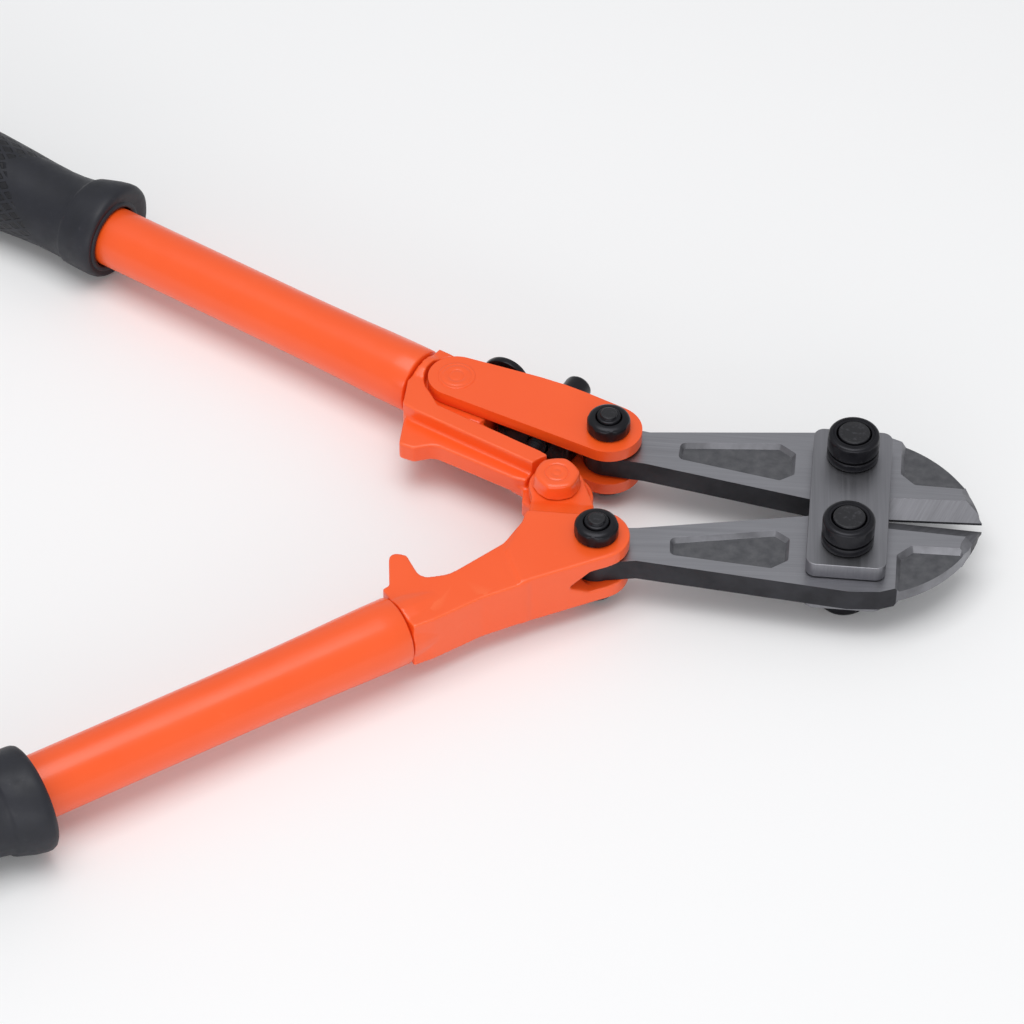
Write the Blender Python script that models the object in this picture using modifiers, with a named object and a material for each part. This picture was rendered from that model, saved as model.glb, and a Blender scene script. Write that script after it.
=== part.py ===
"""Bolt cutters, 350 mm class, as an assembly of separate pieces.

Two jaws turn on two bolts between a pair of joint plates. The jaw tails are
pinned to the two handle heads, and the heads are hinged on each other by the
centre pivot. The far handle holds its jaw through a pair of link plates that
two screws can tilt, which sets how far the blades close.

Tool frame, in millimetres before scaling: x runs along the cutting line
towards the tips with x = 0 at the jaw bolts, y runs across, and z = 0 is the
mid-plane of the jaws. The whole tool is then moved by ORIGIN so that it stands
on z = 0 with its box centred on the origin. +y is the side of the adjustable
handle ("upper"), -y the side of the plain one ("lower").
"""

import math

import bmesh
import bpy
from mathutils import Matrix, Vector

MM = 0.001

# ---------------------------------------------------------------- dimensions
MID_Z = 13.0                 # height of the mid-plane above the table
ORIGIN = Vector((129.331, 17.193, MID_Z))

JAW_BOLT = (0.0, 14.8)       # jaw pivots, at +y and -y
TAIL_BOLT = (-61.2, 18.6)    # handle-to-jaw pivots, at +y and -y
CENTRE = (-72.5, 0.0)        # centre pivot of the two handle heads

JAW_HALF = 3.1               # half thickness of a jaw
EDGE_HALF = 0.35             # half thickness left at the cutting edge
PLATE_IN, PLATE_OUT = 3.35, 7.6
PLATE_HALF_W, PLATE_HALF_L = 9.8, 23.9
CUT_ANGLE = math.radians(2.5)   # each jaw stands open by this at rest
CUT_GAP = 0.06               # what is left between the edges when shut
BEVEL_W = 4.9                # width of the ground bevel
BLADE_ARC = (-0.6, -5.6, 33.9)  # centre x, centre y, radius of the blade's back
TAIL_R = 6.2
POCKET_DEPTH = 1.2
STEP_Z = 1.5                 # half thickness of the relieved blade back

JAW_BOLT_R, JAW_HOLE_R = 4.0, 4.3
JAW_NUT_R = 6.45
TAIL_SHAFT_R, TAIL_HOLE_R = 3.0, 3.3
TAIL_NUT_R = 5.45

FORK_IN, FORK_OUT = 3.4, 7.4
LINK_IN, LINK_OUT = 4.0, 7.4
LINK_REAR = (-101.0, 33.8)   # rear pivot of the link plates
LINK_REAR_R, LINK_FRONT_R = 7.3, 8.5

NECK_Z0, NECK_Z1 = 0.45, 4.8
NECK_R = 7.0
TONGUE_Z0, TONGUE_Z1 = -5.0, -0.1
TONGUE_R = 9.2
PIVOT_SHAFT_R = 1.8
SLOT_R = 3.2                 # width of the slotted hole in the tongue, halved
SLOT_REACH = ((0.9, -4.0), (0.35, 1.3))   # its ends, from the centre pivot

UPPER_ANGLE = math.radians(28.6)   # handle tubes, from the cutting line
LOWER_ANGLE = math.radians(37.2)
UPPER_OFFSET, LOWER_OFFSET = 15.5, 18.2
TUBE_R, TUBE_BORE_R = 8.0, 6.5
UPPER_TUBE_START, LOWER_TUBE_START = 52.0, 57.0
TUBE_END = 243.0
UPPER_GRIP_START, LOWER_GRIP_START = 150.4, 155.4
GRIP_LENGTH = 102.0
GRIP_BORE_R = 8.3
HEAD_TANG_R = 6.2

ORANGE = (0.92, 0.13, 0.02, 1.0)
BLACK = (0.012, 0.012, 0.014, 1.0)
STEEL = (0.26, 0.26, 0.27, 1.0)
RUBBER = (0.012, 0.013, 0.016, 1.0)

SEG = 28


# ------------------------------------------------------------------ helpers
def clear_scene():
    for obj in list(bpy.data.objects):
        bpy.data.objects.remove(obj, do_unlink=True)


def new_collection(name):
    collection = bpy.data.collections.new(name)
    bpy.context.scene.collection.children.link(collection)
    return collection


def material(name, colour, roughness, metallic):
    mat = bpy.data.materials.new(name)
    mat.use_nodes = True
    shader = mat.node_tree.nodes["Principled BSDF"]
    shader.inputs["Base Color"].default_value = colour
    shader.inputs["Roughness"].default_value = roughness
    shader.inputs["Metallic"].default_value = metallic
    mat.diffuse_color = colour
    return mat


def arc(cx, cy, r, start, end, count):
    """Points on a circle from one angle to another, in degrees."""
    return [
        (cx + r * math.cos(math.radians(start + (end - start) * i / count)),
         cy + r * math.sin(math.radians(start + (end - start) * i / count)))
        for i in range(count + 1)
    ]


def circle(cx, cy, r, count=SEG):
    return arc(cx, cy, r, 0, 360, count)[:-1]


def rounded(corners, steps=4):
    """A closed outline whose corners (x, y, radius) are filleted."""
    points = []
    total = len(corners)
    for i, (x, y, r) in enumerate(corners):
        here = Vector((x, y))
        before = Vector(corners[i - 1][:2]) - here
        after = Vector(corners[(i + 1) % total][:2]) - here
        if r <= 0:
            points.append((x, y))
            continue
        u, v = before.normalized(), after.normalized()
        half = math.acos(max(-1.0, min(1.0, u.dot(v)))) / 2
        if half < 0.05 or half > math.pi / 2 - 0.02:
            points.append((x, y))
            continue
        reach = min(r / math.tan(half), 0.49 * before.length, 0.49 * after.length)
        r = reach * math.tan(half)
        centre = here + (u + v).normalized() * (r / math.sin(half))
        first, last = here + u * reach, here + v * reach
        a0 = math.atan2(first.y - centre.y, first.x - centre.x)
        a1 = math.atan2(last.y - centre.y, last.x - centre.x)
        turn = (a1 - a0 + math.pi) % (2 * math.pi) - math.pi
        for k in range(steps + 1):
            a = a0 + turn * k / steps
            points.append((centre.x + r * math.cos(a), centre.y + r * math.sin(a)))
    return points


def mirrored(points):
    return [(x, -y) for x, y in reversed(points)]


def object_from_bmesh(name, bm):
    mesh = bpy.data.meshes.new(name)
    bm.to_mesh(mesh)
    bm.free()
    obj = bpy.data.objects.new(name, mesh)
    bpy.context.scene.collection.objects.link(obj)
    return obj


def prism(name, outline, z0, z1, holes=()):
    """A flat outline, with holes, filled and given its thickness."""
    curve = bpy.data.curves.new(name, "CURVE")
    curve.dimensions = "2D"
    curve.fill_mode = "BOTH"
    curve.extrude = (z1 - z0) / 2 * MM
    for ring in [outline, *holes]:
        spline = curve.splines.new("POLY")
        spline.points.add(len(ring) - 1)
        for point, (x, y) in zip(spline.points, ring):
            point.co = (x * MM, y * MM, 0, 1)
        spline.use_cyclic_u = True
    guide = bpy.data.objects.new(name + "_curve", curve)
    bpy.context.scene.collection.objects.link(guide)
    bpy.context.view_layer.update()
    graph = bpy.context.evaluated_depsgraph_get()
    mesh = bpy.data.meshes.new_from_object(guide.evaluated_get(graph))
    bm = bmesh.new()
    bm.from_mesh(mesh)
    bmesh.ops.remove_doubles(bm, verts=bm.verts, dist=1e-7)
    bmesh.ops.translate(bm, verts=bm.verts, vec=(0, 0, (z0 + z1) / 2 * MM))
    bmesh.ops.recalc_face_normals(bm, faces=bm.faces)
    bpy.data.objects.remove(guide, do_unlink=True)
    bpy.data.meshes.remove(mesh)
    return object_from_bmesh(name, bm)


def drum(name, x, y, z0, z1, r0, r1=None, count=SEG, turn=0.0):
    """A cylinder or cone standing on z0, with its facets turned by an angle."""
    bm = bmesh.new()
    bmesh.ops.create_cone(
        bm, cap_ends=True, segments=count, radius1=r0 * MM,
        radius2=(r0 if r1 is None else r1) * MM, depth=(z1 - z0) * MM)
    bmesh.ops.rotate(bm, verts=bm.verts, cent=(0, 0, 0),
                     matrix=Matrix.Rotation(turn, 3, "Z"))
    bmesh.ops.translate(bm, verts=bm.verts, vec=(x * MM, y * MM, (z0 + z1) / 2 * MM))
    return object_from_bmesh(name, bm)


def box(name, low, high):
    bm = bmesh.new()
    bmesh.ops.create_cube(bm, size=1.0)
    for vert in bm.verts:
        for axis in range(3):
            vert.co[axis] = (low[axis] if vert.co[axis] < 0 else high[axis]) * MM
    return object_from_bmesh(name, bm)


def turned(name, profile, start, along, count=SEG):
    """A profile of (distance along, radius) turned about the line from start."""
    mesh = bpy.data.meshes.new(name)
    points = [(r * MM, 0.0, -t * MM) for t, r in profile]
    mesh.from_pydata(points, [(i, i + 1) for i in range(len(points) - 1)], [])
    obj = bpy.data.objects.new(name, mesh)
    bpy.context.scene.collection.objects.link(obj)
    screw = obj.modifiers.new("Turn", "SCREW")
    screw.axis = "Z"
    screw.steps = screw.render_steps = count
    screw.use_merge_vertices = True
    screw.merge_threshold = 0.00001
    bake(obj)
    direction = Vector(along).normalized()
    spin = Vector((0, 0, -1)).rotation_difference(direction).to_matrix().to_4x4()
    obj.data.transform(Matrix.Translation(Vector(start) * MM) @ spin)
    return obj


def bake(obj):
    """Replace the mesh by what its modifiers make of it."""
    bpy.context.view_layer.update()
    graph = bpy.context.evaluated_depsgraph_get()
    mesh = bpy.data.meshes.new_from_object(obj.evaluated_get(graph))
    old = obj.data
    obj.modifiers.clear()
    obj.data = mesh
    bpy.data.meshes.remove(old)
    bm = bmesh.new()
    bm.from_mesh(obj.data)
    bmesh.ops.remove_doubles(bm, verts=bm.verts, dist=1e-7)
    bmesh.ops.recalc_face_normals(bm, faces=bm.faces)
    bm.to_mesh(obj.data)
    bm.free()


def combine(obj, others, operation):
    for other in others:
        modifier = obj.modifiers.new(operation, "BOOLEAN")
        modifier.operation = operation
        modifier.solver = "EXACT"
        modifier.object = other
        bake(obj)
        bpy.data.objects.remove(other, do_unlink=True)
    return obj


def cut(obj, *others):
    return combine(obj, others, "DIFFERENCE")


def join(obj, *others):
    return combine(obj, others, "UNION")


# Handle frames: a point at distance t back along the tube's axis, at offset
# `out` away from the centre line, for the upper (+1) or the lower (-1) handle.
def handle_axes(side):
    angle = UPPER_ANGLE if side > 0 else LOWER_ANGLE
    offset = UPPER_OFFSET if side > 0 else LOWER_OFFSET
    back = Vector((-math.cos(angle), side * math.sin(angle), 0))
    out = Vector((math.sin(angle), side * math.cos(angle), 0))
    foot = Vector((*CENTRE, 0)) + out * offset
    return foot, back, out


def on_axis(side, t, out_by=0.0, z=0.0):
    foot, back, out = handle_axes(side)
    return foot + back * t + out * out_by + Vector((0, 0, z))


# The link's own line, from its rear pivot to the tail bolt.
LINK_DIR = (Vector(TAIL_BOLT) - Vector(LINK_REAR)).normalized()
LINK_OUT_DIR = Vector((-LINK_DIR.y, LINK_DIR.x))
if LINK_OUT_DIR.y < 0:
    LINK_OUT_DIR = -LINK_OUT_DIR


def link_point(station, out_by):
    p = Vector(LINK_REAR) + LINK_DIR * station + LINK_OUT_DIR * out_by
    return (p.x, p.y)


# -------------------------------------------------------------------- pieces
def joint_plate(name, top):
    corners = [(-PLATE_HALF_W, -PLATE_HALF_L, 2.4), (PLATE_HALF_W, -PLATE_HALF_L, 2.4),
               (PLATE_HALF_W, PLATE_HALF_L, 2.4), (-PLATE_HALF_W, PLATE_HALF_L, 2.4)]
    z = (PLATE_IN, PLATE_OUT) if top else (-PLATE_OUT, -PLATE_IN)
    x, y = JAW_BOLT
    return prism(name, rounded(corners), z[0], z[1],
                 [circle(x, y, JAW_HOLE_R), circle(x, -y, JAW_HOLE_R)])


def edge_y(x):
    """Height of the upper cutting edge above the centre line, at rest."""
    return CUT_GAP + x * math.tan(CUT_ANGLE)


def jaw_outline():
    tx, ty = TAIL_BOLT
    bx, by, br = BLADE_ARC
    points = arc(tx, ty, TAIL_R, 62, 262, 12)
    points += [(-51.5, 11.4), (-11.0, 3.2), (-3.0, 1.4), (5.0, 1.3), (8.5, edge_y(8.5))]
    points += [(33.0, edge_y(33.0))]
    points += arc(bx, by, br, 13.6, 67.6, 12)
    points += [(8.6, 27.3), (1.0, 27.9), (-10.2, 26.9), (-51.0, 22.7)]
    return points


def window_outline():
    return rounded([(-43.3, 14.0, 1.4), (-43.0, 19.8, 1.4), (-18.0, 21.9, 1.0),
                    (-14.0, 18.8, 0.6), (-14.0, 11.3, 0.6), (-17.6, 8.8, 0.6)], 2)


def jaw(name, side):
    """The upper jaw, or its mirror image for the lower one."""
    def shape(points):
        return points if side > 0 else mirrored(points)

    x, y = JAW_BOLT
    tx, ty = TAIL_BOLT
    body = prism(name, shape(jaw_outline()), -JAW_HALF, JAW_HALF,
                 [circle(x, side * y, JAW_HOLE_R), circle(tx, side * ty, TAIL_HOLE_R, 24)])
    cutters = []
    for sign in (1, -1):
        # ground bevel: a wedge along the edge
        ends = []
        for ex in (7.5, 40.0):
            ey = edge_y(ex)
            ends.append([(ex, ey - 0.6, sign * EDGE_HALF), (ex, ey, sign * EDGE_HALF),
                         (ex, ey + BEVEL_W, sign * JAW_HALF),
                         (ex, ey + BEVEL_W + 0.5, sign * (JAW_HALF + 1.0)),
                         (ex, ey - 0.6, sign * (JAW_HALF + 1.0))])
        bm = bmesh.new()
        rings = [[bm.verts.new((px * MM, side * py * MM, pz * MM)) for px, py, pz in ring]
                 for ring in ends]
        bm.faces.new(rings[0])
        bm.faces.new(rings[1])
        for i in range(5):
            bm.faces.new([rings[0][i], rings[0][(i + 1) % 5],
                          rings[1][(i + 1) % 5], rings[1][i]])
        bmesh.ops.recalc_face_normals(bm, faces=bm.faces)
        cutters.append(object_from_bmesh("bevel", bm))
        # relieved back of the blade
        relief = [(12.3, 40.0), (12.3, 14.4), (15.8, 10.8), (27.0, 10.6), (45.0, 17.0),
                  (45.0, 40.0)]
        low, high = (STEP_Z, 8.0) if sign > 0 else (-8.0, -STEP_Z)
        cutters.append(prism("relief", shape(relief), low, high))
        # sunk window in the shank
        low, high = (JAW_HALF - POCKET_DEPTH, 8.0)
        low, high = (low, high) if sign > 0 else (-high, -low)
        cutters.append(prism("window", shape(window_outline()), low, high))
    return cut(body, *cutters)


def jaw_bolt(name, side):
    x, y = JAW_BOLT
    y *= side
    head = drum(name, x, y, -MID_Z, -PLATE_OUT - 0.3, JAW_NUT_R - 0.25, JAW_NUT_R)
    shaft = drum("shaft", x, y, -PLATE_OUT - 1.0, 15.0, JAW_BOLT_R)
    end = drum("end", x, y, 14.9, 15.85, JAW_BOLT_R, JAW_BOLT_R - 0.3)
    return join(head, shaft, end)


def jaw_washer(name, side):
    x, y = JAW_BOLT
    y *= side
    return cut(drum(name, x, y, 7.9, 10.1, 6.45, 6.3),
               drum("hole", x, y, 7.0, 11.0, JAW_HOLE_R))


def jaw_nut(name, side):
    x, y = JAW_BOLT
    y *= side
    body = drum(name, x, y, 10.4, 14.6, JAW_NUT_R)
    body = join(body, drum("top", x, y, 14.5, 15.4, JAW_NUT_R - 0.1, JAW_NUT_R - 1.1))
    return cut(body, drum("hole", x, y, 9.0, 17.0, JAW_HOLE_R))


def tail_bolt(name, side):
    x, y = TAIL_BOLT
    y *= side
    head = drum(name, x, y, -11.4, -FORK_OUT - 0.3, TAIL_NUT_R - 0.3, TAIL_NUT_R)
    shaft = drum("shaft", x, y, -FORK_OUT - 1.0, 12.1, TAIL_SHAFT_R)
    end = drum("end", x, y, 12.0, 12.8, 2.2, 2.0)
    return join(head, shaft, end)


def tail_nut(name, side):
    x, y = TAIL_BOLT
    y *= side
    turn = math.radians(11 if side > 0 else -7)
    body = drum(name, x, y, FORK_OUT + 0.3, 10.6, TAIL_NUT_R, count=12, turn=turn)
    body = join(body, drum("top", x, y, 10.5, 11.5, TAIL_NUT_R - 0.1, TAIL_NUT_R - 1.1,
                           count=12, turn=turn))
    return cut(body, drum("hole", x, y, 6.0, 13.0, TAIL_HOLE_R, count=24))


def link_outline():
    rx, ry = LINK_REAR
    fx, fy = TAIL_BOLT
    tilt = math.degrees(math.atan2(LINK_DIR.y, LINK_DIR.x))
    points = arc(rx, ry, LINK_REAR_R, tilt + 95, tilt + 270, 10)
    points += arc(fx, fy, LINK_FRONT_R, tilt - 90, tilt + 88, 10)
    points += [link_point(25.0, 9.3), link_point(19.0, 9.2)]
    return points


def link_plate(name, top):
    z = (LINK_IN, LINK_OUT) if top else (-LINK_OUT, -LINK_IN)
    rx, ry = LINK_REAR
    fx, fy = TAIL_BOLT
    return prism(name, link_outline(), z[0], z[1],
                 [circle(rx, ry, 2.8, 20), circle(fx, fy, TAIL_HOLE_R, 24)])


def link_rivet(name):
    x, y = LINK_REAR
    shaft = drum(name, x, y, -LINK_OUT - 0.2, LINK_OUT + 0.2, 2.5, count=20)
    top = drum("top", x, y, LINK_OUT + 0.2, LINK_OUT + 0.7, 2.5, 2.1, count=20)
    low = drum("low", x, y, -LINK_OUT - 0.7, -LINK_OUT - 0.2, 2.1, 2.5, count=20)
    return join(shaft, top, low)


def adjuster_block(name):
    """Black block clamped between the link plates, drilled for the front screw."""
    corners = [(*link_point(14.2, -6.2), 1.0), (*link_point(34.5, -6.6), 1.0),
               (*link_point(35.2, 0.0), 0.6), (*link_point(34.5, 7.4), 1.0),
               (*link_point(14.2, 7.6), 1.0)]
    block = prism(name, rounded(corners, 3), -3.7, 3.7)
    hole = turned("hole", [(-40, 0.0), (-40, 2.8), (40, 2.8), (40, 0.0)],
                  (*link_point(26.0, 0.0), 0.0), (*LINK_OUT_DIR, 0.0), 20)
    return cut(block, hole)


def adjusting_screw_front(name):
    profile = [(-10.8, 0.0), (-10.8, 1.6), (-9.9, 2.5), (8.4, 2.5), (8.4, 3.6),
               (17.2, 3.6), (18.0, 2.8), (18.0, 0.0)]
    return turned(name, profile, (*link_point(26.0, 0.0), 0.0), (*LINK_OUT_DIR, 0.0), 20)


def adjusting_screw_rear(name):
    profile = [(6.2, 0.0), (6.2, 1.8), (6.8, 2.4), (10.8, 2.4), (10.8, 6.4), (12.6, 6.4),
               (13.2, 5.8), (13.2, 0.0)]
    return turned(name, profile, (*link_point(8.0, 0.0), 0.0), (*LINK_OUT_DIR, 0.0), 24)


def tang(side, start, length, taper):
    """Round tang that the tube is pressed over, with the shoulder it stops at."""
    foot = on_axis(side, start)
    _, back, _ = handle_axes(side)
    profile = [(-taper, 0.0), (-taper, 3.0), (-taper * 0.45, 6.9), (-4.0, 7.75),
               (-0.6, 7.9), (-0.6, HEAD_TANG_R), (length - 1, HEAD_TANG_R),
               (length, HEAD_TANG_R - 1.0), (length, 0.0)]
    return turned("tang", profile, foot, back, 24)


def tube_room(side, start):
    _, back, _ = handle_axes(side)
    return turned("room", [(-0.3, 0.0), (-0.3, 9.4), (60.0, 9.4), (60.0, 0.0)],
                  on_axis(side, start), back, 24)


def upper_head(name):
    cx, cy = CENTRE
    # flange with its stop, on the side of the other handle
    flange = [(-113.2, 21.5, 0.5), (-113.5, 12.9, 1.0), (-109.6, 11.6, 1.2),
              (-104.5, 13.4, 4.0), (-79.6, 1.6, 0.5), (-72.5, 3.0, 0.2),
              (-74.5, 8.3, 0.3), (-90.0, 20.0, 1.0), (-110.0, 34.0, 0.5)]
    head = prism(name, rounded(flange), -2.6, 2.6)
    # raised rim around the bay of the link plates
    near = lambda t, o: tuple(on_axis(+1, t, o))[:2]
    rim = [(-113.6, 23.6), (-110.5, 21.4), (-79.2, 5.4), (-77.4, 6.6), (-75.6, 8.6),
           link_point(22.0, -12.0), link_point(0.0, -9.0), near(40.0, 6.6),
           near(44.0, 7.2), near(51.2, 7.2), near(51.2, -6.8)]
    body = prism("rim", rim, -6.5, 6.5)
    # web between the link plates, which the rear pivot goes through
    web = [link_point(-9.0, -9.5), link_point(11.0, -9.5), link_point(12.6, -5.0),
           link_point(13.0, 3.0), link_point(11.0, 7.6), link_point(-8.0, 8.6)]
    web = prism("web", web, -3.7, 3.7)
    tongue = arc(cx, cy, TONGUE_R, -95, 62, 14)
    tongue += [(-76.0, 9.4), (-85.5, 13.0), (-84.5, 6.0), (-81.2, 4.0), (-81.0, -2.0)]
    tongue = prism("tongue", tongue, TONGUE_Z0, TONGUE_Z1 + 0.5)
    head = cut(join(head, body, web, tongue), tube_room(+1, UPPER_TUBE_START))
    head = join(head, tang(+1, UPPER_TUBE_START, 26.0, 12.0))
    # bays that the link plates swing in, above and below the web
    bay = [link_point(45.0, -16.0), link_point(33.0, -14.2), link_point(0.0, -10.6)]
    bay += arc(*LINK_REAR, 8.3, 222, 95, 8)
    bay += [link_point(3.0, 20.0), link_point(60.0, 20.0), link_point(60.0, -16.0)]
    bays = [prism("bay", bay, 3.7, 12.0), prism("bay", bay, -12.0, -3.7)]
    # clear the neck of the other head, which turns here
    lap = arc(cx, cy + 0.7, NECK_R + 1.15, 0, 165, 24)
    lap += [(-83.6, 3.5), (-83.6, -12.0), (-60.0, -12.0)]
    lap = prism("lap", lap, TONGUE_Z1, 12.0)
    (low_x, low_y), (high_x, high_y) = SLOT_REACH
    slot = prism("slot", arc(cx + high_x, cy + high_y, SLOT_R, 0, 180, 8)
                 + arc(cx + low_x, cy + low_y, SLOT_R, 180, 360, 8), -9.0, 3.0)
    rivet_hole = drum("rivet_hole", *LINK_REAR, -9.0, 9.0, 2.8, count=20)
    screw_hole = turned("screw_hole", [(5.6, 0.0), (5.6, 2.75), (30, 2.75), (30, 0.0)],
                        (*link_point(8.0, 0.0), 0.0), (*LINK_OUT_DIR, 0.0), 20)
    return cut(head, *bays, lap, slot, rivet_hole, screw_hole)


def lower_head(name):
    cx, cy = CENTRE
    tx, ty = TAIL_BOLT
    ty = -ty
    outline = [(-79.3, -12.2, 0.4), (-79.6, -15.5, 2.0), (-83.5, -23.6, 6.0),
               (-95.6, -35.4, 7.0), (-102.3, -37.4, 3.0), (-106.6, -30.0, 1.2),
               (-111.0, -29.6, 1.8), (-109.6, -40.6, 0.6), (-111.1, -42.1, 0.3),
               (-102.1, -53.9, 0.3), (-97.5, -51.0, 6.0), (-86.8, -42.6, 8.0),
               (-70.5, -33.0, 8.0)]
    end = arc(tx, ty, 8.3, -62, 62, 12)
    head = prism(name, rounded(outline) + end + [(-62.4, -12.2)], -6.9, 6.9)
    fork = [(-82.6, -26.0), (-78.0, -37.0), (-70.5, -33.0)] + end
    fork += [(-62.4, -12.2), (-79.0, -12.2), (-79.3, -15.5)]
    fork = prism("fork", fork, -FORK_OUT, FORK_OUT)
    neck = arc(cx, cy, NECK_R, 8, 184, 14) + [(-78.3, -4.6), (-78.3, -8.6),
                                              (-79.3, -12.8), (-79.4, -16.0), (-72.0, -20.0),
                                              (-62.5, -14.0), (-62.9, -6.0)]
    neck = prism("neck", neck, NECK_Z0, NECK_Z1)
    # ramp from the neck up to the fork
    ramp = box("ramp", (-78.4, -13.0, 2.0), (-62.7, -6.4, FORK_OUT))
    for vert in ramp.data.vertices:
        if vert.co.z > 0.004 and vert.co.y > -0.01:
            vert.co.z = NECK_Z1 * MM
    head = cut(join(head, fork, neck, ramp), tube_room(-1, LOWER_TUBE_START))
    head = join(head, tang(-1, LOWER_TUBE_START, 26.0, 26.0))
    # slot for the jaw's tail, pointed towards the handle
    slot = prism("slot", [(-66.4, 0.45), (-66.4, -0.45), (-62.0, -FORK_IN), (-30.0, -FORK_IN),
                          (-30.0, FORK_IN), (-62.0, FORK_IN)], 9.0, 45.0)
    slot.data.transform(Matrix.Rotation(math.radians(90), 4, "X"))
    eye = drum("eye", tx, ty, -FORK_IN, FORK_IN, 7.1)
    tail_hole = drum("tail_hole", tx, ty, -12.0, 12.0, TAIL_HOLE_R, count=24)
    pivot_hole = drum("pivot_hole", cx, cy, -1.0, 8.0, PIVOT_SHAFT_R + 0.3, count=20)
    return cut(head, slot, eye, tail_hole, pivot_hole)


def tube(name, side, start):
    _, back, _ = handle_axes(side)
    length = TUBE_END - start
    profile = [(0.0, TUBE_BORE_R), (0.0, 8.55), (18.0, 8.35), (34.0, TUBE_R),
               (length, TUBE_R), (length, TUBE_BORE_R)]
    profile.append(profile[0])
    return turned(name, profile, on_axis(side, start), back, 32)


def grip(name, side):
    """Closed sleeve: an off-centre flared collar, a waist and a fuller palm end."""
    foot, back, out = handle_axes(side)
    start = UPPER_GRIP_START if side > 0 else LOWER_GRIP_START
    length = GRIP_LENGTH
    # distance along, reach inwards, reach outwards, half height
    stations = [(0.0, 9.6, 9.7, 9.6), (0.35, 10.9, 13.2, 11.5), (1.3, 11.6, 15.05, 12.5),
                (3.0, 11.8, 15.4, 12.7), (8.0, 11.65, 13.8, 12.35), (10.3, 11.5, 12.8, 12.0),
                (11.2, 11.1, 11.95, 11.4), (15.0, 10.9, 11.2, 11.0), (21.0, 10.9, 11.0, 10.9),
                (34.0, 11.8, 11.8, 11.8), (52.0, 12.6, 12.6, 12.6), (66.0, 12.9, 12.9, 12.9),
                (84.0, 12.5, 12.5, 12.5), (95.0, 12.8, 12.8, 12.8), (99.6, 12.3, 12.3, 12.3),
                (length, 10.4, 10.4, 10.4)]
    bore = [(length - 6.0, GRIP_BORE_R), (0.0, GRIP_BORE_R)]
    rings = [(t, (b - a) / 2, (a + b) / 2, h) for t, a, b, h in stations]
    rings += [(t, 0.0, r, r) for t, r in bore]
    bm = bmesh.new()
    count = 32
    loops = []
    for t, shift, wide, high in rings:
        centre = on_axis(side, start + t)
        loops.append([
            bm.verts.new((centre + out * (shift + wide * math.cos(2 * math.pi * k / count))
                          + Vector((0, 0, high * math.sin(2 * math.pi * k / count)))) * MM)
            for k in range(count)])
    total = len(loops)
    for i, ring in enumerate(loops):
        if i == len(stations) - 1:
            continue
        after = loops[(i + 1) % total]
        for k in range(count):
            bm.faces.new([ring[k], ring[(k + 1) % count], after[(k + 1) % count], after[k]])
    bm.faces.new(loops[len(stations) - 1])
    bm.faces.new(loops[len(stations)])
    bmesh.ops.recalc_face_normals(bm, faces=bm.faces)
    return object_from_bmesh(name, bm)


def centre_bolt(name):
    x, y = CENTRE
    head = drum(name, x, y, NECK_Z1 + 0.3, 8.4, 5.7, 5.35, count=12, turn=0.2)
    top = drum("top", x, y, 8.3, 9.2, 5.3, 4.6, count=12, turn=0.2)
    shaft = drum("shaft", x, y, -8.6, NECK_Z1 + 0.8, PIVOT_SHAFT_R, count=20)
    return join(head, top, shaft)


def centre_nut(name):
    x, y = CENTRE
    washer = drum(name, x, y, -5.9, TONGUE_Z0 - 0.3, 6.2)
    nut = drum("nut", x, y, -8.8, -5.8, 4.6, count=6)
    return cut(join(washer, nut),
               drum("hole", x, y, -10.0, -4.0, PIVOT_SHAFT_R + 0.3, count=20))


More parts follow.
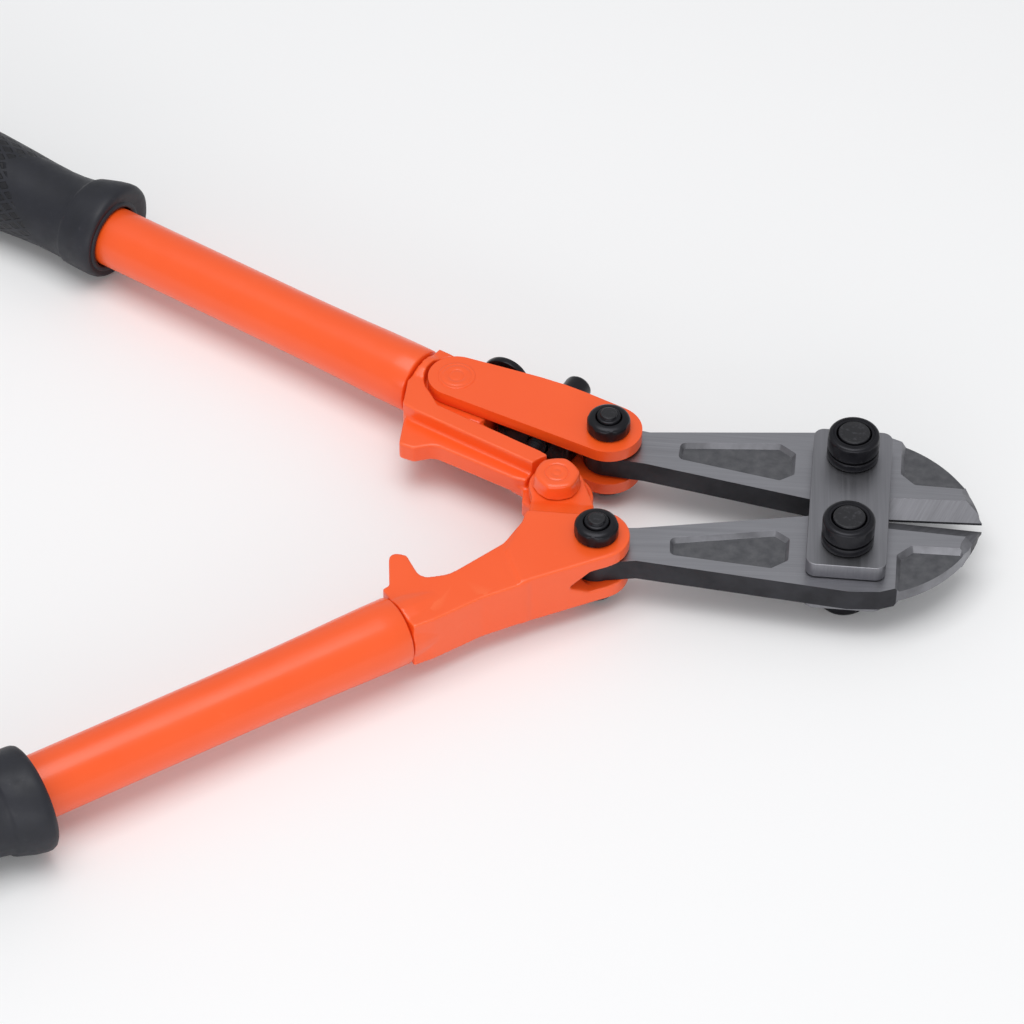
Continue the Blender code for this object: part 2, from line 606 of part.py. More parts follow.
# ------------------------------------------------------------------ assembly
def main():
    clear_scene()
    tool = new_collection("bolt_cutters")

    frame = bpy.data.objects.new("bolt_cutters_frame", None)
    frame.location = ORIGIN * MM
    tool.objects.link(frame)

    up = lambda p: (p[0], p[1], 0.0)
    down = lambda p: (p[0], -p[1], 0.0)
    pivots = {
        "plates": (0.0, 0.0, 0.0),
        "upper_jaw": up(JAW_BOLT), "lower_jaw": down(JAW_BOLT),
        "link": up(TAIL_BOLT), "lower_handle": down(TAIL_BOLT),
        "upper_handle": up(LINK_REAR),
        "front_screw": (*link_point(26.0, 0.0), 0.0),
        "rear_screw": (*link_point(8.0, 0.0), 0.0),
    }
    orange = lambda name: material(name, ORANGE, 0.38, 0.0)
    black = lambda name: material(name, BLACK, 0.42, 0.6)
    steel = lambda name: material(name, STEEL, 0.42, 1.0)
    rubber = lambda name: material(name, RUBBER, 0.6, 0.0)

    pieces = [
        (joint_plate("joint_plate_top", True), "plates", steel),
        (joint_plate("joint_plate_bottom", False), "plates", steel),
        (jaw_bolt("upper_jaw_bolt", 1), "plates", black),
        (jaw_bolt("lower_jaw_bolt", -1), "plates", black),
        (jaw_washer("upper_jaw_washer", 1), "plates", black),
        (jaw_washer("lower_jaw_washer", -1), "plates", black),
        (jaw_nut("upper_jaw_nut", 1), "plates", black),
        (jaw_nut("lower_jaw_nut", -1), "plates", black),
        (jaw("upper_jaw", 1), "upper_jaw", steel),
        (jaw("lower_jaw", -1), "lower_jaw", steel),
        (link_plate("link_plate_top", True), "link", orange),
        (link_plate("link_plate_bottom", False), "link", orange),
        (link_rivet("link_rivet"), "link", orange),
        (adjuster_block("adjuster_block"), "link", black),
        (tail_bolt("upper_handle_bolt", 1), "link", black),
        (tail_nut("upper_handle_nut", 1), "link", black),
        (adjusting_screw_front("adjusting_screw_front"), "front_screw", black),
        (adjusting_screw_rear("adjusting_screw_rear"), "rear_screw", black),
        (upper_head("upper_handle_head"), "upper_handle", orange),
        (tube("upper_handle_tube", 1, UPPER_TUBE_START), "upper_handle", orange),
        (grip("upper_grip", 1), "upper_handle", rubber),
        (lower_head("lower_handle_head"), "lower_handle", orange),
        (tube("lower_handle_tube", -1, LOWER_TUBE_START), "lower_handle", orange),
        (grip("lower_grip", -1), "lower_handle", rubber),
        (tail_bolt("lower_handle_bolt", -1), "lower_handle", black),
        (tail_nut("lower_handle_nut", -1), "lower_handle", black),
        (centre_bolt("centre_pivot_bolt"), "lower_handle", orange),
        (centre_nut("centre_pivot_nut"), "lower_handle", orange),
    ]
    for obj, body, finish in pieces:
        pivot = Vector(pivots[body]) * MM
        obj.data.transform(Matrix.Translation(-pivot))
        obj.location = pivot
        obj.parent = frame
        for collection in list(obj.users_collection):
            collection.objects.unlink(obj)
        tool.objects.link(obj)
        obj.data.materials.clear()
        obj.data.materials.append(finish(obj.name + "_finish"))
        obj.data.shade_smooth()
        obj.data.set_sharp_from_angle(angle=math.radians(35))


main()
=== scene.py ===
"""Looks of the bolt cutters: detailed pieces in place of the CAD solids, materials, light and camera."""
import math

import bmesh
import bpy
from mathutils import Matrix, Vector


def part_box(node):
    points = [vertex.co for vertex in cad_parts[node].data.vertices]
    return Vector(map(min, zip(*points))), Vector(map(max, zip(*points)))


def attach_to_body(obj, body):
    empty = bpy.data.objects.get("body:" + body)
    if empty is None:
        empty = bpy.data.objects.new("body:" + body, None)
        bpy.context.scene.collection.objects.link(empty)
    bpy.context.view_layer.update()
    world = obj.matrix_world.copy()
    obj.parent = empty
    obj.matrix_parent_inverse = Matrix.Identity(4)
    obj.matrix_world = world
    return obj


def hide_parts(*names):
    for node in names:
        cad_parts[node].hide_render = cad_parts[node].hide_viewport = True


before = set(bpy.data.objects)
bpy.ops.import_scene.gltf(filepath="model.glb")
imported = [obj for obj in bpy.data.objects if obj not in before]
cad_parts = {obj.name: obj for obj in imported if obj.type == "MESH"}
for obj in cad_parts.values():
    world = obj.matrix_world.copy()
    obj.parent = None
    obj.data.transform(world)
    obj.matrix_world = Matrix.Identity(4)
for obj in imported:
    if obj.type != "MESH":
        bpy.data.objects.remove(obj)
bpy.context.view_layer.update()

# ------------------------------------------------------------------ tool frame
# Millimetres, x along the cutting line with 0 at the jaw bolts, z = 0 at mid-plane.
_low, _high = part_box("joint_plate_top")
ORIGIN = Vector(((_low[0] + _high[0]) / 2, (_low[1] + _high[1]) / 2, _high[2] - 0.0076)) * 1000
TO_WORLD = Matrix.Scale(0.001, 4) @ Matrix.Translation(ORIGIN)

JAW_BOLT = (0.0, 14.8)
TAIL_BOLT = (-61.2, 18.6)
CENTRE = (-72.5, 0.0)
JAW_HALF = 3.1
EDGE_HALF = 0.35
PLATE_IN, PLATE_OUT = 3.35, 7.6
CUT_ANGLE = math.radians(2.5)
CUT_GAP = 0.06
BEVEL_W = 4.9
STEP_Z = 1.6
FORK_OUT = 7.4
LINK_IN, LINK_OUT = 4.0, 7.4
LINK_REAR = (-101.0, 33.8)
UPPER_ANGLE = math.radians(28.6)
LOWER_ANGLE = math.radians(37.2)
UPPER_OFFSET, LOWER_OFFSET = 15.5, 18.2
TUBE_R = 8.0
UPPER_TUBE_START, LOWER_TUBE_START = 52.0, 57.0
GRIP_START = {1: 150.4, -1: 155.4}   # front lip of each grip, from where the handle axes start


# ------------------------------------------------------------------ outlines
def arc(cx, cy, r, start, end, count):
    return [
        (cx + r * math.cos(math.radians(start + (end - start) * i / count)),
         cy + r * math.sin(math.radians(start + (end - start) * i / count)))
        for i in range(count + 1)
    ]


def circle(cx, cy, r, count=96):
    return arc(cx, cy, r, 0, 360, count)[:-1]


def rounded(corners, steps=8):
    points = []
    total = len(corners)
    for i, (x, y, r) in enumerate(corners):
        here = Vector((x, y))
        before = Vector(corners[i - 1][:2]) - here
        after = Vector(corners[(i + 1) % total][:2]) - here
        u, v = before.normalized(), after.normalized()
        half = math.acos(max(-1.0, min(1.0, u.dot(v)))) / 2
        if r <= 0 or half < 0.05 or half > math.pi / 2 - 0.02:
            points.append((x, y))
            continue
        reach = min(r / math.tan(half), 0.49 * before.length, 0.49 * after.length)
        r = reach * math.tan(half)
        centre = here + (u + v).normalized() * (r / math.sin(half))
        first, last = here + u * reach, here + v * reach
        a0 = math.atan2(first.y - centre.y, first.x - centre.x)
        a1 = math.atan2(last.y - centre.y, last.x - centre.x)
        turn = (a1 - a0 + math.pi) % (2 * math.pi) - math.pi
        for k in range(steps + 1):
            a = a0 + turn * k / steps
            points.append((centre.x + r * math.cos(a), centre.y + r * math.sin(a)))
    return points


def area(points):
    return sum(points[i - 1][0] * p[1] - p[0] * points[i - 1][1]
               for i, p in enumerate(points)) / 2


def offset(corners, by):
    """Corners (x, y, r) of a closed outline moved inwards by a distance."""
    sign = 1 if area([c[:2] for c in corners]) > 0 else -1
    moved = []
    total = len(corners)
    for i in range(total):
        a, b, c = (Vector(corners[i - 1][:2]), Vector(corners[i][:2]),
                   Vector(corners[(i + 1) % total][:2]))
        u, v = (b - a).normalized(), (c - b).normalized()
        nu, nv = Vector((-u.y, u.x)) * sign, Vector((-v.y, v.x)) * sign
        miter = (nu + nv).normalized()
        p = b + miter * (by / max(0.3, miter.dot(nu)))
        moved.append((p.x, p.y, max(0.2, corners[i][2] - by)))
    return moved


def mirrored(points):
    return [(x, -y) for x, y in reversed(points)]


def mirrored_corners(corners):
    return [(x, -y, r) for x, y, r in reversed(corners)]


# ------------------------------------------------------------------ meshes, in millimetres
def new_object(name, bm):
    mesh = bpy.data.meshes.new(name)
    bm.to_mesh(mesh)
    bm.free()
    obj = bpy.data.objects.new(name, mesh)
    bpy.context.scene.collection.objects.link(obj)
    return obj


def bake(obj):
    bpy.context.view_layer.update()
    graph = bpy.context.evaluated_depsgraph_get()
    mesh = bpy.data.meshes.new_from_object(obj.evaluated_get(graph))
    old = obj.data
    obj.modifiers.clear()
    obj.data = mesh
    bpy.data.meshes.remove(old)
    return obj


def prism(name, outline, z0, z1, holes=()):
    curve = bpy.data.curves.new(name, "CURVE")
    curve.dimensions = "2D"
    curve.fill_mode = "BOTH"
    curve.extrude = (z1 - z0) / 2
    for ring in [outline, *holes]:
        spline = curve.splines.new("POLY")
        spline.points.add(len(ring) - 1)
        for point, (x, y) in zip(spline.points, ring):
            point.co = (x, y, 0, 1)
        spline.use_cyclic_u = True
    guide = bpy.data.objects.new(name + "_curve", curve)
    bpy.context.scene.collection.objects.link(guide)
    bpy.context.view_layer.update()
    graph = bpy.context.evaluated_depsgraph_get()
    mesh = bpy.data.meshes.new_from_object(guide.evaluated_get(graph))
    bm = bmesh.new()
    bm.from_mesh(mesh)
    bmesh.ops.remove_doubles(bm, verts=bm.verts, dist=1e-4)
    bmesh.ops.translate(bm, verts=bm.verts, vec=(0, 0, (z0 + z1) / 2))
    bmesh.ops.recalc_face_normals(bm, faces=bm.faces)
    bpy.data.objects.remove(guide, do_unlink=True)
    bpy.data.curves.remove(curve)
    bpy.data.meshes.remove(mesh)
    return new_object(name, bm)


def frustum(name, low_ring, high_ring, z0, z1):
    """A closed solid between two outlines with the same number of points."""
    bm = bmesh.new()
    low = [bm.verts.new((x, y, z0)) for x, y in low_ring]
    high = [bm.verts.new((x, y, z1)) for x, y in high_ring]
    count = len(low)
    for i in range(count):
        j = (i + 1) % count
        bm.faces.new([low[i], low[j], high[j], high[i]])
    bm.faces.new(list(reversed(low)))
    bm.faces.new(high)
    bmesh.ops.recalc_face_normals(bm, faces=bm.faces)
    return new_object(name, bm)


def lathe(name, profile, start, along, count=96, radius_of=None, caps=True):
    """Rings of (distance, radius) about a line. radius_of(angle, distance, r) may shape them."""
    axis = Vector(along).normalized()
    side = axis.orthogonal().normalized() if abs(axis.z) > 0.5 else Vector((0, 0, 1)).cross(axis)
    if abs(axis.z) > 0.5:
        side = Vector((1, 0, 0))
    other = axis.cross(side)
    start = Vector(start)
    bm = bmesh.new()
    rings = []
    for t, r in profile:
        ring = []
        for k in range(count):
            a = 2 * math.pi * k / count
            rr = radius_of(a, t, r) if radius_of else r
            ring.append(bm.verts.new(start + axis * t
                                     + (side * math.cos(a) + other * math.sin(a)) * rr))
        rings.append(ring)
    for low, high in zip(rings, rings[1:]):
        for k in range(count):
            j = (k + 1) % count
            bm.faces.new([low[k], low[j], high[j], high[k]])
    if caps:
        bm.faces.new(rings[0])
        bm.faces.new(rings[-1])
    else:
        first, last = rings[-1], rings[0]
        for k in range(count):
            j = (k + 1) % count
            bm.faces.new([first[k], first[j], last[j], last[k]])
    bmesh.ops.recalc_face_normals(bm, faces=bm.faces)
    return new_object(name, bm)


def cut(obj, *others):
    for other in others:
        modifier = obj.modifiers.new("Cut", "BOOLEAN")
        modifier.operation = "DIFFERENCE"
        modifier.solver = "EXACT"
        modifier.object = other
        bake(obj)
        bpy.data.objects.remove(other, do_unlink=True)
    return obj


def tidy(obj, angle=1.0):
    bm = bmesh.new()
    bm.from_mesh(obj.data)
    bmesh.ops.remove_doubles(bm, verts=bm.verts, dist=2e-4)
    bmesh.ops.dissolve_limit(bm, angle_limit=math.radians(angle), verts=bm.verts,
                             edges=bm.edges, delimit={"MATERIAL"})
    bm.to_mesh(obj.data)
    bm.free()
    return obj


def bevel(obj, width, segments=3, angle=32):
    tidy(obj)
    modifier = obj.modifiers.new("Bevel", "BEVEL")
    modifier.width = width
    modifier.segments = segments
    modifier.limit_method = "ANGLE"
    modifier.angle_limit = math.radians(angle)
    modifier.miter_outer = "MITER_ARC"
    modifier.use_clamp_overlap = True
    return bake(obj)


def smooth(obj, angle=40, weighted=False):
    obj.data.shade_smooth()
    obj.data.set_sharp_from_angle(angle=math.radians(angle))
    if weighted:
        level = obj.modifiers.new("Level", "WEIGHTED_NORMAL")
        level.mode = "FACE_AREA"
        level.weight = 90
        level.keep_sharp = True
        bake(obj)
    return obj


def attach(obj, body, slot, mats, *nodes):
    """Puts a piece in the world, gives it its finish and fixes it to its body."""
    obj.data.transform(TO_WORLD)
    obj.data.update()
    if not obj.data.materials:
        for mat in mats:
            obj.data.materials.append(mat)
    if nodes:
        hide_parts(*nodes)
    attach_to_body(obj, body)
    return obj


def from_node(name, node, voxel=0.34, rounds=7, keep=0.5):
    """A forged look from a CAD solid: fine remesh, edges softened evenly."""
    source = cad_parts[node]
    mesh = source.data.copy()
    mesh.materials.clear()
    mesh.transform(TO_WORLD.inverted() @ source.matrix_world)
    obj = bpy.data.objects.new(name, mesh)
    bpy.context.scene.collection.objects.link(obj)
    bm = bmesh.new()
    bm.from_mesh(mesh)
    bmesh.ops.remove_doubles(bm, verts=bm.verts, dist=1e-3)
    bmesh.ops.recalc_face_normals(bm, faces=bm.faces)
    bm.to_mesh(mesh)
    bm.free()
    remesh = obj.modifiers.new("Remesh", "REMESH")
    remesh.mode = "VOXEL"
    remesh.voxel_size = voxel * 1.0
    soften = obj.modifiers.new("Soften", "SMOOTH")
    soften.factor = 0.5
    soften.iterations = rounds
    bake(obj)
    if keep < 1:
        thin = obj.modifiers.new("Thin", "DECIMATE")
        thin.ratio = keep
        bake(obj)
    obj.data.shade_smooth()
    return obj


# ------------------------------------------------------------------ handle frames
def handle_axes(side):
    angle = UPPER_ANGLE if side > 0 else LOWER_ANGLE
    reach = UPPER_OFFSET if side > 0 else LOWER_OFFSET
    back = Vector((-math.cos(angle), side * math.sin(angle), 0))
    out = Vector((math.sin(angle), side * math.cos(angle), 0))
    return Vector((*CENTRE, 0)) + out * reach, back, out


def on_axis(side, t, out_by=0.0, z=0.0):
    foot, back, out = handle_axes(side)
    return foot + back * t + out * out_by + Vector((0, 0, z))


LINK_DIR = (Vector(TAIL_BOLT) - Vector(LINK_REAR)).normalized()
LINK_SIDE = Vector((-LINK_DIR.y, LINK_DIR.x))


def link_point(station, out_by):
    p = Vector(LINK_REAR) + LINK_DIR * station + LINK_SIDE * out_by
    return (p.x, p.y)


# ------------------------------------------------------------------ materials
class Shader:
    """Small helper around one node tree."""

    def __init__(self, name, colour, roughness, metallic):
        self.mat = bpy.data.materials.new(name)
        self.mat.use_nodes = True
        self.tree = self.mat.node_tree
        self.out = self.tree.nodes["Principled BSDF"]
        self.out.inputs["Base Color"].default_value = (*colour, 1)
        self.out.inputs["Roughness"].default_value = roughness
        self.out.inputs["Metallic"].default_value = metallic
        self.mat.diffuse_color = (*colour, 1)
        self.coord = self.tree.nodes.new("ShaderNodeTexCoord")

    def node(self, kind, **values):
        node = self.tree.nodes.new(kind)
        for key, value in values.items():
            setattr(node, key, value)
        return node

    def link(self, a, b):
        self.tree.links.new(a, b)

    def mapped(self, scale=(1, 1, 1), rotation=(0, 0, 0)):
        turned = self.node("ShaderNodeMapping")
        turned.inputs["Rotation"].default_value = tuple(-r for r in rotation)
        self.link(self.coord.outputs["Object"], turned.inputs["Vector"])
        mapping = self.node("ShaderNodeMapping")
        mapping.inputs["Scale"].default_value = scale
        self.link(turned.outputs["Vector"], mapping.inputs["Vector"])
        return mapping.outputs["Vector"]

    def noise(self, scale, detail=3.0, rough=0.55, vector=None):
        node = self.node("ShaderNodeTexNoise")
        node.inputs["Scale"].default_value = scale
        node.inputs["Detail"].default_value = detail
        node.inputs["Roughness"].default_value = rough
        self.link(vector or self.coord.outputs["Object"], node.inputs["Vector"])
        return node.outputs["Fac"]

    def ramp(self, value, low, high, a=(0, 0, 0), b=(1, 1, 1)):
        node = self.node("ShaderNodeValToRGB")
        node.color_ramp.elements[0].position = low
        node.color_ramp.elements[1].position = high
        node.color_ramp.elements[0].color = (*a, 1)
        node.color_ramp.elements[1].color = (*b, 1)
        self.link(value, node.inputs["Fac"])
        return node.outputs["Color"]

    def span(self, value, low, high, to_low, to_high):
        node = self.node("ShaderNodeMapRange")
        for key, number in zip(("From Min", "From Max", "To Min", "To Max"),
                               (low, high, to_low, to_high)):
            node.inputs[key].default_value = number
        self.link(value, node.inputs["Value"])
        return node.outputs["Result"]

    def mix(self, factor, a, b):
        node = self.node("ShaderNodeMix", data_type="RGBA")
        for socket, value in ((node.inputs[0], factor), (node.inputs[6], a), (node.inputs[7], b)):
            if isinstance(value, (int, float)):
                socket.default_value = value
            elif isinstance(value, tuple):
                socket.default_value = (*value, 1)
            else:
                self.link(value, socket)
        return node.outputs[2]

    def math(self, operation, a, b=0.0):
        node = self.node("ShaderNodeMath", operation=operation)
        for socket, value in zip(node.inputs, (a, b)):
            if isinstance(value, (int, float)):
                socket.default_value = value
            else:
                self.link(value, socket)
        return node.outputs[0]

    def bump(self, height, strength, distance, normal=None):
        node = self.node("ShaderNodeBump")
        node.inputs["Strength"].default_value = strength
        node.inputs["Distance"].default_value = distance
        self.link(height, node.inputs["Height"])
        if normal:
            self.link(normal, node.inputs["Normal"])
        return node.outputs["Normal"]

    def set(self, colour=None, roughness=None, normal=None):
        if colour:
            self.link(colour, self.out.inputs["Base Color"])
        if roughness:
            self.link(roughness, self.out.inputs["Roughness"])
        if normal:
            self.link(normal, self.out.inputs["Normal"])
        return self.mat


def edges_of(s, low=0.515, high=0.56):
    geometry = s.node("ShaderNodeNewGeometry")
    return s.ramp(geometry.outputs["Pointiness"], low, high)


def orange_paint(name="orange_powder_coat", edge_highlight=False):
    s = Shader(name, (0.90, 0.098, 0.014), 0.34, 0.0)
    s.out.inputs["Coat Weight"].default_value = 0.25
    s.out.inputs["Coat Roughness"].default_value = 0.18
    patch = s.noise(38, 4)
    colour = s.ramp(patch, 0.3, 0.7, (0.90, 0.094, 0.010), (0.92, 0.104, 0.013))
    dust = s.ramp(s.noise(260, 3), 0.66, 0.80)
    colour = s.mix(s.math("MULTIPLY", dust, 0.06), colour, (0.95, 0.22, 0.08))
    if edge_highlight:
        # painted highlight: the orange is lightened along sharp edges, found by pointiness
        colour = s.mix(s.math("MULTIPLY", edges_of(s), 0.30), colour, (0.96, 0.19, 0.06))
    rough = s.span(s.noise(90, 3), 0.3, 0.7, 0.29, 0.40)
    peel = s.bump(s.noise(620, 2, 0.4), 0.16, 0.00006)
    pits = s.bump(s.ramp(s.noise(1500, 1), 0.60, 0.78), 0.05, 0.00003, peel)
    return s.set(colour, rough, pits)


def brushed_steel(name, colour, angle, roughness=0.36, across=2600, along=34, contrast=1.0):
    """Ground steel whose grain runs at an angle to the tool's x axis."""
    s = Shader(name, colour, roughness, 1.0)
    grain_at = s.mapped((along, across, 240), (0, 0, angle))
    fine = s.noise(1.0, 4, 0.65, grain_at)
    coarse = s.noise(1.0, 2, 0.5, s.mapped((along * 0.6, across * 0.28, 120), (0, 0, angle)))
    grain = s.math("ADD", s.math("MULTIPLY", fine, 0.6), s.math("MULTIPLY", coarse, 0.4))
    dark = tuple(c * (1 - 0.10 * contrast) for c in colour)
    light = tuple(min(1.0, c * (1 + 0.09 * contrast)) for c in colour)
    base = s.ramp(grain, 0.34, 0.66, dark, light)
    stain = s.ramp(s.noise(55, 4), 0.45, 0.75)
    base = s.mix(s.math("MULTIPLY", stain, 0.18), base, tuple(c * 0.72 for c in colour))
    rough = s.span(grain, 0.3, 0.7, roughness - 0.03, roughness + 0.05)
    return s.set(base, rough, s.bump(grain, 0.05 * contrast, 0.00003))


def dark_steel(name="dark_forged_steel", colour=(0.032, 0.032, 0.037), roughness=0.46):
    s = Shader(name, colour, roughness, 0.75)
    base = s.ramp(s.noise(120, 5), 0.3, 0.72, tuple(c * 0.7 for c in colour),
                  tuple(c * 1.45 for c in colour))
    rough = s.span(s.noise(210, 4), 0.3, 0.7, roughness - 0.08, roughness + 0.1)
    return s.set(base, rough, s.bump(s.noise(900, 3), 0.2, 0.00005))


def pocket_steel():
    s = Shader("pocket_floor_steel", (0.12, 0.12, 0.13), 0.5, 0.85)
    base = s.ramp(s.noise(420, 5), 0.3, 0.7, (0.100, 0.101, 0.110), (0.150, 0.151, 0.160))
    return s.set(base, None, s.bump(s.noise(1300, 3), 0.35, 0.00006))


def black_oxide():
    s = Shader("black_oxide", (0.017, 0.017, 0.020), 0.36, 0.55)
    base = s.ramp(s.noise(260, 4), 0.3, 0.7, (0.007, 0.007, 0.010), (0.014, 0.014, 0.018))
    rough = s.span(s.noise(500, 3), 0.3, 0.7, 0.27, 0.38)
    return s.set(base, rough, s.bump(s.noise(1100, 3), 0.10, 0.00004))


def bolt_end():
    """Hammered, dusty end of a bolt inside its nut."""
    s = Shader("bolt_end_black", (0.020, 0.020, 0.023), 0.5, 0.4)
    spots = s.ramp(s.noise(900, 4), 0.55, 0.72)
    base = s.mix(s.math("MULTIPLY", spots, 0.5), (0.018, 0.018, 0.021), (0.075, 0.075, 0.085))
    return s.set(base, None, s.bump(s.noise(800, 5), 0.8, 0.00014))


def grip_rubber():
    """Moulded rubber with a field of small lozenge dents that narrows to a point."""
    s = Shader("grip_rubber", (0.036, 0.037, 0.046), 0.5, 0.0)
    s.out.inputs["Specular IOR Level"].default_value = 0.36
    uv = s.node("ShaderNodeUVMap", uv_map="grip")
    split = s.node("ShaderNodeSeparateXYZ")
    s.link(uv.outputs["UV"], split.inputs[0])
    t, v = split.outputs[0], split.outputs[1]      # mm along, mm round
    # lattice of dents
    a = s.math("ADD", s.math("DIVIDE", t, 5.6), s.math("DIVIDE", v, 3.4))
    b = s.math("SUBTRACT", s.math("DIVIDE", t, 5.6), s.math("DIVIDE", v, 3.4))
    wa = s.math("ABSOLUTE", s.math("SINE", s.math("MULTIPLY", a, math.pi)))
    wb = s.math("ABSOLUTE", s.math("SINE", s.math("MULTIPLY", b, math.pi)))
    cell = s.math("MINIMUM", wa, wb)
    dent = s.span(cell, 0.42, 0.62, 0.0, 1.0)
    # field: a V that opens backwards from a point on the top and one underneath
    fold = s.math("ABSOLUTE", s.math("SUBTRACT", s.math("PINGPONG", s.math("ADD", v, -2.0 + 37.0), 37.0), 18.5))
    reach = s.math("SUBTRACT", t, s.math("ADD", 19.0, s.math("MULTIPLY", s.math("SUBTRACT", 18.5, fold), 0.82)))
    field = s.math("MULTIPLY", s.span(reach, 0.0, 1.2, 0.0, 1.0), s.span(t, 86.0, 87.5, 1.0, 0.0))
    dent = s.math("MULTIPLY", dent, field)
    base = s.ramp(s.noise(150, 4), 0.3, 0.7, (0.012, 0.013, 0.018), (0.017, 0.018, 0.025))
    # painted shade: the dents, which are only a bump, are darkened to near black to stand in for the shade
    # inside them
    base = s.mix(s.math("MULTIPLY", dent, 0.8), base, (0.006, 0.006, 0.008))
    base = s.mix(s.math("MULTIPLY", s.ramp(s.noise(600, 2), 0.68, 0.8), 0.15), base, (0.08, 0.08, 0.09))
    skin = s.bump(s.noise(1600, 3), 0.12, 0.00004)
    pressed = s.node("ShaderNodeBump", invert=True)
    pressed.inputs["Strength"].default_value = 0.9
    pressed.inputs["Distance"].default_value = 0.0006
    s.link(dent, pressed.inputs["Height"])
    s.link(skin, pressed.inputs["Normal"])
    rough = s.span(s.noise(330, 3), 0.3, 0.7, 0.44, 0.58)
    return s.set(base, rough, pressed.outputs["Normal"])


ORANGE = orange_paint()
# orange paint with a painted highlight along its edges, used on the handle heads
ORANGE_EDGE_HIGHLIGHT = orange_paint("orange_powder_coat_edge_highlight", True)
JAW_TOP = brushed_steel("jaw_brushed_steel", (0.34, 0.34, 0.365), 0.0)
JAW_TOP_2 = brushed_steel("jaw_brushed_steel_lower", (0.34, 0.34, 0.365), 0.05)
PLATE = brushed_steel("plate_brushed_steel", (0.27, 0.27, 0.29), math.radians(93), 0.38)
BLADE = brushed_steel("ground_blade_steel", (0.165, 0.165, 0.178), math.radians(62), 0.50, 1900, 40, 2.4)
DARK = dark_steel()
WALL = dark_steel("pocket_wall_steel", (0.19, 0.19, 0.205), 0.42)
FLOOR_STEEL = pocket_steel()
BLACK = black_oxide()
BOLT_END = bolt_end()
RUBBER = grip_rubber()


# ------------------------------------------------------------------ jaws
def edge_y(x):
    return CUT_GAP + x * math.tan(CUT_ANGLE)


def jaw_outline():
    tx, ty = TAIL_BOLT
    points = arc(tx, ty, 6.2, 62, 262, 40)
    points += [(-51.5, 11.4), (-11.0, 3.2), (-3.0, 1.4), (5.0, 1.3), (8.5, edge_y(8.5))]
    points += [(33.0, edge_y(33.0))]
    points += arc(-0.6, -5.6, 33.9, 13.6, 67.6, 60)
    points += [(8.6, 27.3), (1.0, 27.9), (-10.2, 26.9), (-51.0, 22.7)]
    return points


WINDOW = [(-43.3, 14.0, 1.6), (-43.0, 19.8, 1.6), (-18.0, 21.9, 1.0), (-14.0, 18.8, 0.7),
          (-14.0, 11.3, 0.7), (-17.6, 8.8, 0.7)]
RELIEF = [(12.3, 44.0, 0.3), (12.3, 14.2, 1.0), (15.9, 10.6, 1.2), (28.3, 10.4, 0.8),
          (29.6, 11.9, 0.8), (28.6, 13.6, 0.4), (46.0, 36.0, 0.3), (46.0, 44.0, 0.3)]


def back_chamfer(side, sign):
    """Ring sector that breaks the outer edge of the blade's back."""
    bm = bmesh.new()
    rings = []
    for k in range(49):
        angle = math.radians(4.0 + 36.0 * k / 48)
        away = 2.9 * max(0.0, (k - 30) / 18.0)        # fades out towards the relieved back
        section = [(39.5, 1.3), (34.02 + away, 1.3), (31.5 + away, 3.35), (31.5 + away, 5.0),
                   (39.5, 5.0)]
        rings.append([bm.verts.new((-0.6 + r * math.cos(angle),
                                    side * (-5.6 + r * math.sin(angle)), sign * z))
                      for r, z in section])
    bm.faces.new(rings[0])
    bm.faces.new(rings[-1])
    for low, high in zip(rings, rings[1:]):
        for i in range(5):
            bm.faces.new([low[i], low[(i + 1) % 5], high[(i + 1) % 5], high[i]])
    bmesh.ops.recalc_face_normals(bm, faces=bm.faces)
    return new_object("back_chamfer", bm)


